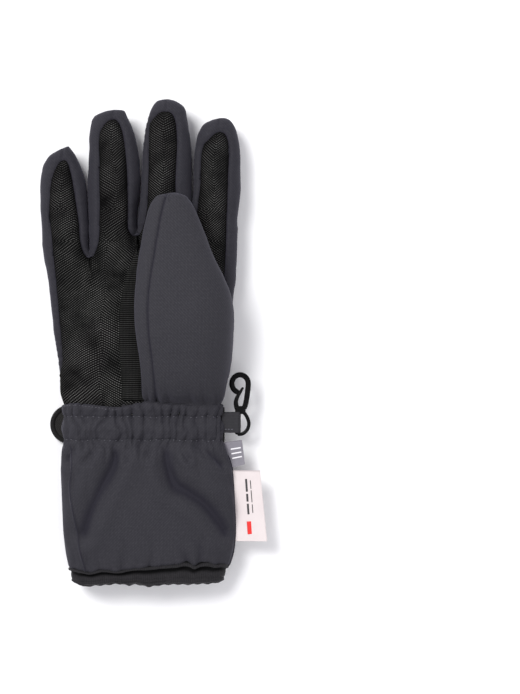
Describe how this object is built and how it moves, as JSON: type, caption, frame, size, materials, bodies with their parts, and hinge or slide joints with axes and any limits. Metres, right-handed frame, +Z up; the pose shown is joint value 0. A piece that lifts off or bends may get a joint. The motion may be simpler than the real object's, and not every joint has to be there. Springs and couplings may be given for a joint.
{
  "type": "ski glove",
  "caption": "Child's padded ski glove for the right hand: grip palm, elastic wrist, long gauntlet, wrist strap, hanging clip and seam labels.",
  "frame": {"origin": "centre of the glove's bounding box, on the surface it rests on", "axes": "+Y to the fingertips, +X to the thumb side, +Z up, out of the palm"},
  "size_m": [0.123, 0.2626, 0.0474],
  "materials": {
    "shell_fabric": "matt dark grey twill",
    "grip_fabric": "black ribbed grip cloth with a herringbone grain",
    "ribbed_webbing": "black cross-ribbed webbing",
    "fleece": "brushed black fleece",
    "wadding": "white fibre wadding",
    "elastic": "woven rubber-cored elastic",
    "strap_webbing": "black woven webbing",
    "hook_and_loop": "black hook and loop tape",
    "tab_webbing": "dark grey woven tape",
    "black_plastic": "moulded black nylon, satin",
    "hem_knit": "black knitted binding",
    "grey_label": "grey satin woven label",
    "white_label": "white satin woven label"
  },
  "bodies": {
    "palm": {"palm_grip_panel": "grip_fabric", "hand_back_panel": "shell_fabric", "outer_side_strip": "shell_fabric", "little_ring_side_strip": "shell_fabric", "ring_middle_side_strip": "shell_fabric", "middle_index_side_strip": "shell_fabric", "inner_side_strip": "shell_fabric", "hand_insulation": "wadding", "hand_lining": "fleece", "thumb_web_patch": "ribbed_webbing"},
    "little_finger": {"little_tip_grip_panel": "grip_fabric", "little_tip_side_strip": "shell_fabric", "little_tip_back_panel": "shell_fabric", "little_tip_insulation": "wadding", "little_tip_lining": "fleece"},
    "ring_finger": {"ring_tip_grip_panel": "grip_fabric", "ring_tip_side_strip": "shell_fabric", "ring_tip_back_panel": "shell_fabric", "ring_tip_insulation": "wadding", "ring_tip_lining": "fleece"},
    "middle_finger": {"middle_tip_grip_panel": "grip_fabric", "middle_tip_side_strip": "shell_fabric", "middle_tip_back_panel": "shell_fabric", "middle_tip_insulation": "wadding", "middle_tip_lining": "fleece"},
    "index_finger": {"index_tip_grip_panel": "grip_fabric", "index_tip_side_strip": "shell_fabric", "index_tip_back_panel": "shell_fabric", "index_tip_insulation": "wadding", "index_tip_lining": "fleece"},
    "thumb": {"thumb_outer_panel": "shell_fabric", "thumb_side_strip": "shell_fabric", "thumb_inner_panel": "shell_fabric", "thumb_insulation": "wadding", "thumb_lining": "fleece"},
    "gauntlet": {"wrist_band_palm_side": "shell_fabric", "wrist_band_back_side": "shell_fabric", "cuff_palm_side": "shell_fabric", "cuff_back_side": "shell_fabric", "wrist_elastic": "elastic", "wrist_lining": "fleece", "cuff_lining": "fleece", "hem_binding": "hem_knit", "hem_elastic": "elastic", "strap_loop_patch": "hook_and_loop", "strap_anchor": "strap_webbing", "clip_tab": "tab_webbing"},
    "strap": {"strap_webbing": "strap_webbing", "strap_end_binding": "strap_webbing", "strap_hook_patch": "hook_and_loop"},
    "clip": {"clip_frame": "black_plastic"},
    "gate": {"clip_gate": "black_plastic"},
    "small_tag": {"side_label": "grey_label"},
    "large_tag": {"info_label": "white_label"}
  },
  "joints": [
    {"name": "little_bend", "type": "hinge", "parent": "palm", "child": "little_finger", "pos_m": [-0.04855, 0.07545, 0.016], "axis": [0.9986, 0.0523, 0], "range_deg": [0, 60], "stiffness_Nm_per_rad": 0.01},
    {"name": "ring_bend", "type": "hinge", "parent": "palm", "child": "ring_finger", "pos_m": [-0.02215, 0.09145, 0.016], "axis": [0.9991, 0.0419, 0], "range_deg": [0, 60], "stiffness_Nm_per_rad": 0.01},
    {"name": "middle_bend", "type": "hinge", "parent": "palm", "child": "middle_finger", "pos_m": [0.00645, 0.09545, 0.016], "axis": [1, 0, 0], "range_deg": [0, 60], "stiffness_Nm_per_rad": 0.01},
    {"name": "index_bend", "type": "hinge", "parent": "palm", "child": "index_finger", "pos_m": [0.03335, 0.08745, 0.016], "axis": [1, 0, 0], "range_deg": [0, 60], "stiffness_Nm_per_rad": 0.01},
    {"name": "thumb_swing", "type": "hinge", "parent": "palm", "child": "thumb", "pos_m": [0.04045, 0.00745, 0.026], "axis": [0, 1, 0], "range_deg": [0, 70], "stiffness_Nm_per_rad": 0.01},
    {"name": "wrist_flex", "type": "hinge", "parent": "palm", "child": "gauntlet", "pos_m": [-0.00455, -0.03255, 0.014], "axis": [1, 0, 0], "range_deg": [-20, 20], "stiffness_Nm_per_rad": 0.1},
    {"name": "strap_peel", "type": "hinge", "parent": "gauntlet", "child": "strap", "pos_m": [0.00945, -0.04455, 0.0033], "axis": [0, -1, 0], "range_deg": [0, 100]},
    {"name": "clip_swivel", "type": "hinge", "parent": "gauntlet", "child": "clip", "pos_m": [0.04505, -0.04305, 0.0135], "axis": [0, 1, 0], "range_deg": [-75, 75]},
    {"name": "clip_gate_flex", "type": "hinge", "parent": "clip", "child": "gate", "pos_m": [0.04455, -0.03325, 0.0135], "axis": [0, 0, -1], "range_deg": [0, 6], "stiffness_Nm_per_rad": 0.002},
    {"name": "small_tag_fold", "type": "hinge", "parent": "gauntlet", "child": "small_tag", "pos_m": [0.04105, -0.06055, 0.0134], "axis": [0, 1, 0], "range_deg": [-60, 60], "stiffness_Nm_per_rad": 0.0005},
    {"name": "large_tag_fold", "type": "hinge", "parent": "gauntlet", "child": "large_tag", "pos_m": [0.04345, -0.08755, 0.0134], "axis": [0, 1, 0], "range_deg": [-60, 60], "stiffness_Nm_per_rad": 0.001}
  ]
}
